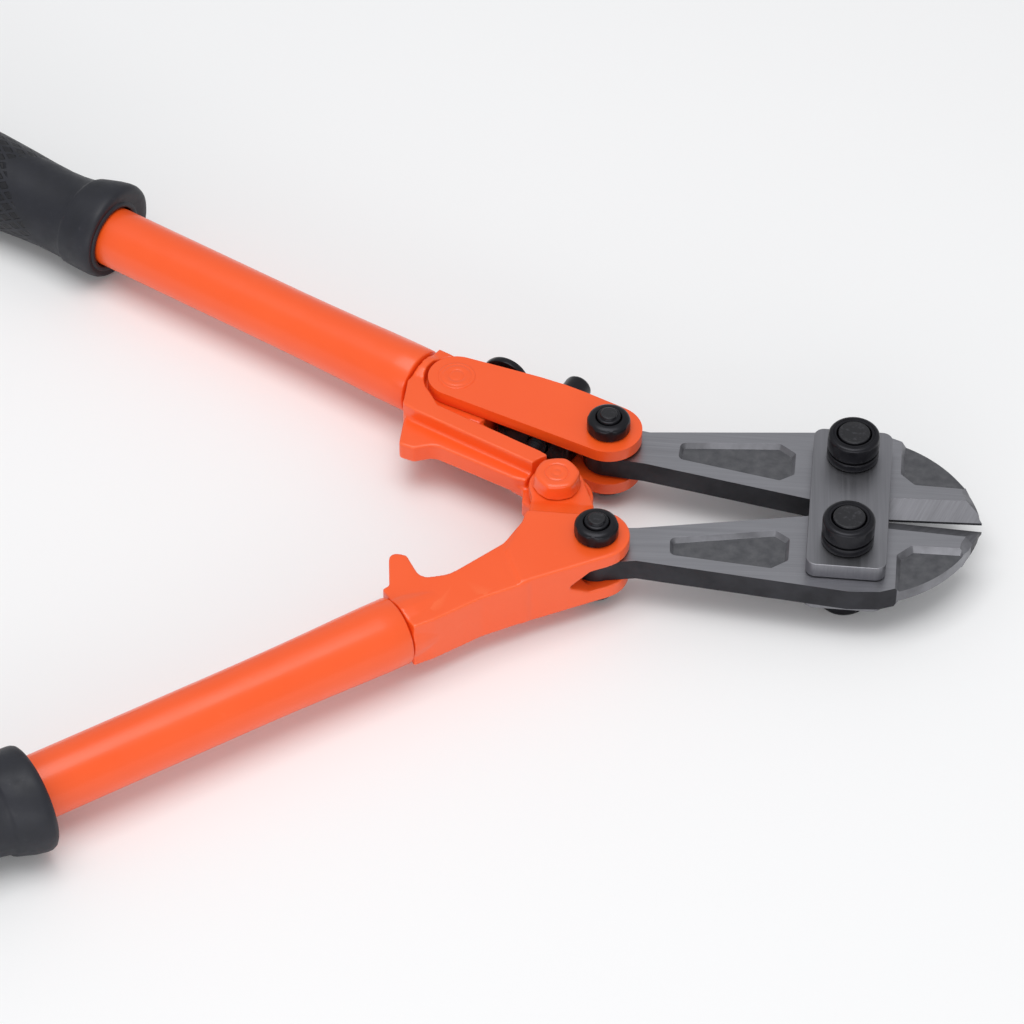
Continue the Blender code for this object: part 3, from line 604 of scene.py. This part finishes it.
def jaw(name, side, body, node, top):
    def shape(points):
        return points if side > 0 else mirrored(points)

    def corners(points):
        return points if side > 0 else mirrored_corners(points)

    x, y = JAW_BOLT
    tx, ty = TAIL_BOLT
    obj = prism(name, shape(jaw_outline()), -JAW_HALF, JAW_HALF,
                [circle(x, side * y, 4.3, 48), circle(tx, side * ty, 3.3, 48)])
    for sign in (1, -1):
        ends = []
        for ex in (7.5, 40.0):
            ey = edge_y(ex)
            ends.append([(ex, ey - 0.6, sign * EDGE_HALF), (ex, ey, sign * EDGE_HALF),
                         (ex, ey + BEVEL_W, sign * JAW_HALF),
                         (ex, ey + BEVEL_W + 0.5, sign * (JAW_HALF + 1.0)),
                         (ex, ey - 0.6, sign * (JAW_HALF + 1.0))])
        bm = bmesh.new()
        rings = [[bm.verts.new((px, side * py, pz)) for px, py, pz in ring] for ring in ends]
        bm.faces.new(rings[0])
        bm.faces.new(rings[1])
        for i in range(5):
            bm.faces.new([rings[0][i], rings[0][(i + 1) % 5], rings[1][(i + 1) % 5], rings[1][i]])
        bmesh.ops.recalc_face_normals(bm, faces=bm.faces)
        wedge = new_object("wedge", bm)

        def sunk(outline, floor, slope):
            low = rounded(corners(offset(outline, slope)), 6)
            grow = slope * 1.0 / (JAW_HALF - floor)
            high = rounded(corners(offset(outline, -grow)), 6)
            a, b = (floor, JAW_HALF + 1.0)
            if sign > 0:
                return frustum("sunk", low, high, a, b)
            return frustum("sunk", high, low, -b, -a)

        cut(obj, wedge, back_chamfer(side, sign), sunk(RELIEF, STEP_Z, 1.1), sunk(WINDOW, JAW_HALF - 1.15, 0.95))
    bevel(obj, 0.22, 2, 24)
    mesh = obj.data
    for mat in (top, DARK, BLADE, FLOOR_STEEL, WALL):
        mesh.materials.append(mat)
    for face in mesh.polygons:
        nz = abs(face.normal.z)
        cx, cy, cz = face.center
        cy *= side
        if nz < 0.55:
            deep = abs(cz) < JAW_HALF - 0.02 and (
                (-43.5 < cx < -13.8 and 8.4 < cy < 21.6 and abs(cz) > 1.8)
                or (cx > 12.0 and abs(cz) > STEP_Z - 0.05 and cy > 9.9
                    and math.hypot(cx + 0.6, cy + 5.6) < 33.2))
            outer_blade = cx > 12.0 and cy > 8.0
            face.material_index = 4 if deep or outer_blade else 1
        elif abs(cz) < JAW_HALF - 0.3 and nz > 0.995:
            face.material_index = 3
        elif nz < 0.93 and cx > 7.0 and cy < edge_y(cx) + BEVEL_W + 0.3:
            face.material_index = 2
        elif nz < 0.80:
            face.material_index = 4
        else:
            face.material_index = 0
    smooth(obj, 28, True)
    return attach(obj, body, "jaw_steel", (), node)


jaw("upper_jaw_piece", 1, "upper_jaw", "upper_jaw", JAW_TOP)
jaw("lower_jaw_piece", -1, "lower_jaw", "lower_jaw", JAW_TOP_2)


# ------------------------------------------------------------------ joint plates
def joint_plate(name, node, top):
    corners = [(-9.8, -23.9, 2.6), (9.8, -23.9, 2.6), (9.8, 23.9, 2.6), (-9.8, 23.9, 2.6)]
    z0, z1 = (PLATE_IN, PLATE_OUT) if top else (-PLATE_OUT, -PLATE_IN)
    x, y = JAW_BOLT
    obj = prism(name, rounded(corners, 10), z0, z1,
                [circle(x, y, 4.3, 48), circle(x, -y, 4.3, 48)])
    bevel(obj, 0.35, 3)
    smooth(obj, 40, True)
    return attach(obj, "plates", "plate_steel", (PLATE,), node)


joint_plate("joint_plate_top_piece", "joint_plate_top", True)
joint_plate("joint_plate_bottom_piece", "joint_plate_bottom", False)


# ------------------------------------------------------------------ bolts and nuts
def hexed(apothem_share, turn=0.0, flat_until=1e9, flat_from=-1e9):
    """Radius law of a hexagon whose corners are turned off to the given radius."""
    def law(angle, t, r):
        if not flat_from <= t <= flat_until:
            return r
        phi = (angle - turn) % (math.pi / 3) - math.pi / 6
        return min(r, r * apothem_share / math.cos(phi))
    return law


def jaw_fasteners(prefix, side):
    x, y = JAW_BOLT
    y *= side
    node = prefix + "_jaw_"
    turn = 0.35 if side > 0 else 0.9
    # nut: skirt, groove, body with rounded shoulder, bore
    nut = [(10.4, 4.35), (10.4, 5.95), (10.5, 6.05), (10.85, 6.05), (10.95, 6.2), (11.2, 6.42),
           (11.35, 6.45), (14.4, 6.45), (14.75, 6.38), (15.05, 6.2), (15.27, 5.95), (15.4, 5.6),
           (15.4, 5.25), (15.28, 5.15), (15.28, 4.95), (15.4, 4.85), (15.4, 4.5), (15.25, 4.35)]
    nut = lathe(node + "nut_piece", nut, (x, y, 0), (0, 0, 1), 144,
                hexed(0.985, turn, 14.5, 11.3), caps=False)
    smooth(nut, 38)
    attach(nut, "plates", "black_oxide", (BLACK,), node + "nut")
    washer = [(7.9, 4.35), (7.9, 6.2), (8.0, 6.36), (8.2, 6.45), (9.7, 6.45), (9.95, 6.36),
              (10.07, 6.2), (10.1, 6.0), (10.1, 4.35)]
    washer = lathe(node + "washer_piece", washer, (x, y, 0), (0, 0, 1), 128, caps=False)
    smooth(washer, 38)
    attach(washer, "plates", "black_oxide", (BLACK,), node + "washer")
    # bolt: chamfered head below, shaft, hammered end
    head = [(-13.0, 0.01), (-13.0, 2.4), (-12.7, 2.6), (-12.7, 3.3), (-13.0, 3.5), (-13.0, 5.5),
            (-12.9, 5.8), (-12.6, 6.12), (-12.2, 6.36), (-11.7, 6.45), (-8.4, 6.45), (-8.05, 6.35),
            (-7.9, 6.15), (-7.9, 4.0), (15.35, 4.0), (15.65, 3.9), (15.8, 3.7), (15.85, 3.4),
            (15.78, 3.25), (15.76, 2.2), (15.70, 0.8), (15.72, 0.01)]
    bolt = lathe(node + "bolt_piece", head, (x, y, 0), (0, 0, 1), 144,
                 hexed(0.93, turn, -8.2, -12.4))
    bolt.data.materials.append(BLACK)
    bolt.data.materials.append(BOLT_END)
    for face in bolt.data.polygons:
        face.material_index = 1 if face.center.z > 15.6 else 0
    smooth(bolt, 38)
    attach(bolt, "plates", "black_oxide", (), node + "bolt")


def tail_fasteners(prefix, side, body):
    x, y = TAIL_BOLT
    y *= side
    node = prefix + "_handle_"
    turn = math.radians(11 if side > 0 else -7)
    nut = [(7.7, 3.3), (7.7, 5.2), (7.8, 5.36), (8.0, 5.45), (10.2, 5.45), (10.6, 5.37),
           (10.95, 5.15), (11.25, 4.75), (11.42, 4.3), (11.5, 3.8), (11.5, 3.45), (11.38, 3.3)]
    nut = lathe(node + "nut_piece", nut, (x, y, 0), (0, 0, 1), 144,
                hexed(0.97, turn, 10.7, 7.9), caps=False)
    smooth(nut, 38)
    attach(nut, body, "black_oxide", (BLACK,), node + "nut")
    head = [(-11.4, 0.01), (-11.4, 1.8), (-11.2, 2.0), (-11.2, 2.5), (-11.4, 2.7), (-11.4, 4.6),
            (-11.25, 4.95), (-10.9, 5.25), (-10.4, 5.42), (-8.1, 5.45), (-7.8, 5.3), (-7.7, 5.1),
            (-7.7, 3.0), (11.7, 3.0), (11.95, 2.9), (12.05, 2.72), (12.08, 2.5), (12.08, 2.25),
            (12.16, 2.18), (12.5, 2.14), (12.68, 2.05), (12.78, 1.85), (12.8, 1.6), (12.74, 1.45),
            (12.74, 0.9), (12.70, 0.01)]
    bolt = lathe(node + "bolt_piece", head, (x, y, 0), (0, 0, 1), 144,
                 hexed(0.93, turn, -8.0, -11.0))
    bolt.data.materials.append(BLACK)
    bolt.data.materials.append(BOLT_END)
    for face in bolt.data.polygons:
        face.material_index = 1 if face.center.z > 12.7 else 0
    smooth(bolt, 38)
    attach(bolt, body, "black_oxide", (), node + "bolt")


jaw_fasteners("upper", 1)
jaw_fasteners("lower", -1)
tail_fasteners("upper", 1, "link")
tail_fasteners("lower", -1, "lower_handle")


# ------------------------------------------------------------------ link
def link_outline():
    tilt = math.degrees(math.atan2(LINK_DIR.y, LINK_DIR.x))
    points = arc(*LINK_REAR, 7.3, tilt + 95, tilt + 270, 36)
    points += arc(*TAIL_BOLT, 8.5, tilt - 90, tilt + 84, 36)
    points += [link_point(33.0, 9.25), link_point(26.0, 9.5), link_point(19.0, 9.2)]
    return points


def link_plate(name, node, top):
    z0, z1 = (LINK_IN, LINK_OUT) if top else (-LINK_OUT, -LINK_IN)
    obj = prism(name, link_outline(), z0, z1, [circle(*LINK_REAR, 2.8, 48),
                                               circle(*TAIL_BOLT, 3.3, 48)])
    bevel(obj, 0.75, 4, 30)
    smooth(obj, 50, True)
    return attach(obj, "link", "orange_paint", (ORANGE,), node)


link_plate("link_plate_top_piece", "link_plate_top", True)
link_plate("link_plate_bottom_piece", "link_plate_bottom", False)

rivet = [(-8.0, 0.01), (-8.0, 2.0), (-7.9, 2.3), (-7.72, 2.5), (-7.72, 4.0), (-7.6, 4.3),
         (-7.45, 4.45), (-7.42, 2.5), (7.42, 2.5), (7.42, 4.75), (7.50, 4.72), (7.56, 4.55),
         (7.58, 4.3), (7.50, 4.1), (7.50, 3.8), (7.62, 3.55), (7.66, 3.2), (7.66, 2.2),
         (7.58, 2.05), (7.56, 1.85), (7.64, 1.65), (7.66, 1.2), (7.68, 0.01)]
rivet = lathe("link_rivet_piece", rivet, (*LINK_REAR, 0), (0, 0, 1), 96)
smooth(rivet, 60)
attach(rivet, "link", "orange_paint", (ORANGE,), "link_rivet")

block = [(*link_point(14.2, -6.2), 1.2), (*link_point(34.5, -6.6), 1.2),
         (*link_point(35.2, 0.0), 0.6), (*link_point(34.5, 7.4), 1.2),
         (*link_point(14.2, 7.6), 1.2)]
block = prism("adjuster_block_piece", rounded(block, 6), -3.7, 3.7)
block_hole = lathe("hole", [(-40, 2.8), (40, 2.8)], (*link_point(26.0, 0.0), 0.0),
                   (*LINK_SIDE, 0.0), 48)
cut(block, block_hole)
bevel(block, 0.4, 3)
smooth(block)
attach(block, "link", "black_oxide", (BLACK,), "adjuster_block")


def thread(r, t0, t1, pitch=0.9, depth=0.32):
    """Ring profile of a threaded length."""
    points = []
    t = t0
    while t < t1 - pitch:
        points += [(t, r - depth), (t + pitch * 0.4, r), (t + pitch * 0.55, r)]
        t += pitch
    return points + [(t1, r - depth)]


profile = [(-10.8, 0.01), (-10.8, 1.5), (-10.5, 1.7)] + thread(2.5, -10.0, 8.2) + [
    (8.4, 2.3), (8.4, 3.3), (8.6, 3.6), (16.8, 3.6), (17.4, 3.45), (17.8, 3.1), (18.0, 2.5),
    (18.0, 1.75), (17.85, 1.6), (15.6, 1.5), (15.3, 0.01)]
screw = lathe("adjusting_screw_front_piece", profile, (*link_point(26.0, 0.0), 0.0),
              (*LINK_SIDE, 0.0), 64)
smooth(screw, 35)
attach(screw, "front_screw", "black_oxide", (BLACK,), "adjusting_screw_front")

profile = [(6.2, 0.01), (6.2, 1.7), (6.5, 2.0)] + thread(2.4, 6.8, 10.4, 0.8, 0.28) + [
    (10.8, 2.3), (10.8, 6.0), (10.95, 6.3), (11.2, 6.4), (12.3, 6.4), (12.8, 6.2), (13.1, 5.7),
    (13.2, 5.0), (13.15, 2.6), (13.0, 2.4), (11.6, 2.3), (11.4, 0.01)]
screw = lathe("adjusting_screw_rear_piece", profile, (*link_point(8.0, 0.0), 0.0),
              (*LINK_SIDE, 0.0), 64)
smooth(screw, 35)
attach(screw, "rear_screw", "black_oxide", (BLACK,), "adjusting_screw_rear")

# ------------------------------------------------------------------ handle heads
head = from_node("upper_handle_head_piece", "upper_handle_head")
attach(head, "upper_handle", "orange_paint", (ORANGE_EDGE_HIGHLIGHT,), "upper_handle_head")
head = from_node("lower_handle_head_piece", "lower_handle_head")
attach(head, "lower_handle", "orange_paint", (ORANGE_EDGE_HIGHLIGHT,), "lower_handle_head")


# ------------------------------------------------------------------ tubes and grips
def tube(name, side, start, body, node):
    _, back, _ = handle_axes(side)
    length = 243.0 - start
    profile = [(0.0, 6.5), (0.0, 8.2), (0.15, 8.45), (0.5, 8.6), (6.0, 8.6), (14.0, 8.45),
               (22.0, 8.25), (32.0, 8.08), (42.0, TUBE_R), (length - 0.3, TUBE_R),
               (length, TUBE_R - 0.3), (length, 6.5)]
    obj = lathe(name, profile, on_axis(side, start), back, 128, caps=False)
    smooth(obj, 38)
    return attach(obj, body, "orange_paint", (ORANGE,), node)


tube("upper_handle_tube_piece", 1, UPPER_TUBE_START, "upper_handle", "upper_handle_tube")
tube("lower_handle_tube_piece", -1, LOWER_TUBE_START, "lower_handle", "lower_handle_tube")


def ease(x):
    x = max(0.0, min(1.0, x))
    return x * x * (3 - 2 * x)


# distance along, reach inwards, reach outwards, half height
GRIP_RINGS = [
    (0.25, 8.45, 8.45, 8.45), (0.0, 8.7, 8.7, 8.7), (-0.0, 9.2, 9.2, 9.2), (0.1, 9.6, 9.7, 9.6),
    (0.45, 9.8, 9.95, 9.8), (0.5, 10.1, 10.7, 10.2), (0.35, 10.5, 11.8, 10.8),
    (0.4, 10.9, 13.2, 11.5), (0.7, 11.3, 14.3, 12.1), (1.3, 11.6, 15.05, 12.5),
    (2.2, 11.75, 15.4, 12.7), (3.4, 11.8, 15.35, 12.72), (5.5, 11.75, 14.8, 12.6),
    (8.0, 11.65, 13.8, 12.35), (9.8, 11.55, 13.05, 12.15), (10.25, 11.5, 12.75, 12.0),
    (10.55, 11.3, 12.3, 11.7), (11.2, 11.1, 11.95, 11.4), (13.0, 10.95, 11.5, 11.15),
    (16.0, 10.85, 11.1, 10.95), (20.0, 10.85, 10.95, 10.9), (26.0, 11.15, 11.2, 11.15),
    (34.0, 11.75, 11.75, 11.75), (44.0, 12.3, 12.3, 12.3), (56.0, 12.7, 12.7, 12.7),
    (66.0, 12.85, 12.85, 12.85), (74.0, 12.75, 12.75, 12.75), (82.0, 12.5, 12.5, 12.5),
    (88.0, 12.45, 12.45, 12.45), (91.0, 12.55, 12.55, 12.55), (94.0, 12.8, 12.8, 12.8),
    (97.0, 12.75, 12.75, 12.75), (99.5, 12.3, 12.3, 12.3), (101.0, 11.4, 11.4, 11.4),
    (101.8, 10.0, 10.0, 10.0), (102.0, 8.0, 8.0, 8.0), (102.0, 3.0, 3.0, 3.0)]


def grip(name, side, body, node):
    _, back, out = handle_axes(side)
    count = 128
    bm = bmesh.new()
    layer = bm.loops.layers.uv.new("grip")
    rings = []
    for t, inner, outer, high in GRIP_RINGS:
        shift, wide = (outer - inner) / 2, (outer + inner) / 2
        centre = on_axis(side, GRIP_START[side] + t)
        rings.append([bm.verts.new(
            centre + out * (shift + wide * math.cos(2 * math.pi * k / count))
            + Vector((0, 0, high * math.sin(2 * math.pi * k / count)))) for k in range(count)])
    round_mm = 74.0
    for i, (low, high) in enumerate(zip(rings, rings[1:])):
        t0, t1 = GRIP_RINGS[i][0], GRIP_RINGS[i + 1][0]
        for k in range(count):
            j = (k + 1) % count
            face = bm.faces.new([low[k], low[j], high[j], high[k]])
            v0, v1 = round_mm * k / count, round_mm * (k + 1) / count
            for loop, uv in zip(face.loops, ((t0, v0), (t0, v1), (t1, v1), (t1, v0))):
                loop[layer].uv = uv
    bm.faces.new(rings[-1])
    inner = [bm.verts.new(on_axis(side, GRIP_START[side] + 20.0) + out * 8.3 * math.cos(2 * math.pi * k / count)
                          + Vector((0, 0, 8.3 * math.sin(2 * math.pi * k / count))))
             for k in range(count)]
    for k in range(count):
        j = (k + 1) % count
        bm.faces.new([inner[k], inner[j], rings[0][j], rings[0][k]])
    bmesh.ops.recalc_face_normals(bm, faces=bm.faces)
    obj = new_object(name, bm)
    smooth(obj, 50)
    return attach(obj, body, "grip_rubber", (RUBBER,), node)


grip("upper_grip_piece", 1, "upper_handle", "upper_grip")
grip("lower_grip_piece", -1, "lower_handle", "lower_grip")

# ------------------------------------------------------------------ centre pivot
boss = [(-8.6, 0.01), (-8.6, 1.8), (4.9, 1.8), (5.1, 5.75), (5.25, 5.95), (5.5, 5.85),
        (5.9, 5.72), (6.5, 5.68), (8.3, 5.60), (8.7, 5.48), (8.95, 5.25), (9.13, 4.9),
        (9.2, 4.4), (9.2, 3.3), (9.16, 3.12), (9.05, 3.02), (9.02, 2.9), (9.05, 2.78),
        (9.16, 2.68), (9.2, 2.4), (9.2, 1.5), (9.12, 1.3), (9.12, 0.9), (9.2, 0.7), (9.2, 0.01)]


def boss_law(angle, t, r):
    if r < 3.5 or t < 5.2:
        return r
    phi = (angle - 0.2) % (math.pi / 3) - math.pi / 6
    flat = r * 0.965 / math.cos(phi)
    soft = 0.35
    return r - soft * math.log1p(math.exp((r - flat) / soft)) + soft * math.log(2) * 0.4


boss = lathe("centre_pivot_bolt_piece", boss, (*CENTRE, 0), (0, 0, 1), 144, boss_law)
smooth(boss, 50)
attach(boss, "lower_handle", "orange_paint", (ORANGE,), "centre_pivot_bolt")

under = [(-5.3, 2.3), (-5.3, 6.0), (-5.4, 6.15), (-5.6, 6.2), (-5.8, 6.15), (-5.9, 6.0),
         (-5.95, 4.5), (-6.1, 4.55), (-8.2, 4.5), (-8.6, 4.3), (-8.8, 3.9), (-8.8, 2.3)]
under = lathe("centre_pivot_nut_piece", under, (*CENTRE, 0), (0, 0, 1), 96,
              hexed(0.9, 0.0, -5.97, -8.7), caps=False)
smooth(under, 38)
attach(under, "lower_handle", "orange_paint", (ORANGE,), "centre_pivot_nut")


# ------------------------------------------------------------------ stage, light, camera
def flat_material(name, colour, roughness):
    s = Shader(name, colour, roughness, 0.0)
    base = s.ramp(s.noise(6, 2), 0.3, 0.7, tuple(c * 0.995 for c in colour), colour)
    return s.set(base)


bm = bmesh.new()
bmesh.ops.create_grid(bm, x_segments=8, y_segments=8, size=4.0)
floor = new_object("studio_floor", bm)
floor.data.materials.append(flat_material("pale_floor", (0.90, 0.90, 0.90), 0.8))

world = bpy.data.worlds.new("studio")
bpy.context.scene.world = world
world.use_nodes = True
world.node_tree.nodes["Background"].inputs["Color"].default_value = (0.97, 0.98, 1.0, 1)
world.node_tree.nodes["Background"].inputs["Strength"].default_value = 0.55
bpy.context.scene.view_settings.view_transform = "Standard"

AIM = Vector((-60.0, 0.0, 0.0))


def softbox(name, place, width, height, power, colour=(1, 1, 1), aim=AIM):
    light = bpy.data.lights.new(name, "AREA")
    light.shape = "RECTANGLE"
    light.size, light.size_y = width, height
    light.energy = power
    light.color = colour
    obj = bpy.data.objects.new(name, light)
    here = TO_WORLD @ Vector(place)
    obj.location = here
    obj.rotation_euler = (TO_WORLD @ aim - here).to_track_quat("-Z", "Y").to_euler()
    bpy.context.scene.collection.objects.link(obj)
    return obj


softbox("key_overhead", (-160, -120, 1250), 1.0, 0.9, 8.5)
softbox("front_strip", (-120, -1150, 330), 1.5, 0.30, 4.5)

azimuth, elevation, roll = math.radians(5.170), math.radians(44.977), math.radians(0.473)
back = Vector((math.sin(azimuth) * math.cos(elevation),
               -math.cos(azimuth) * math.cos(elevation), math.sin(elevation)))
right = (-back).cross(Vector((0, 0, 1))).normalized()
up = right.cross(-back)
r2 = right * math.cos(roll) + up * math.sin(roll)
u2 = -right * math.sin(roll) + up * math.cos(roll)
eye = TO_WORLD @ (Vector((-83.124, -5.278, -0.67)) + back * 1097.246)
camera = bpy.data.cameras.new("camera")
camera.sensor_width = 36.0
camera.lens = 155.46
camera.clip_start, camera.clip_end = 0.05, 20.0
cam = bpy.data.objects.new("camera", camera)
cam.matrix_world = Matrix(((r2.x, u2.x, back.x, eye.x), (r2.y, u2.y, back.y, eye.y),
                           (r2.z, u2.z, back.z, eye.z), (0, 0, 0, 1)))
bpy.context.scene.collection.objects.link(cam)
bpy.context.scene.camera = cam
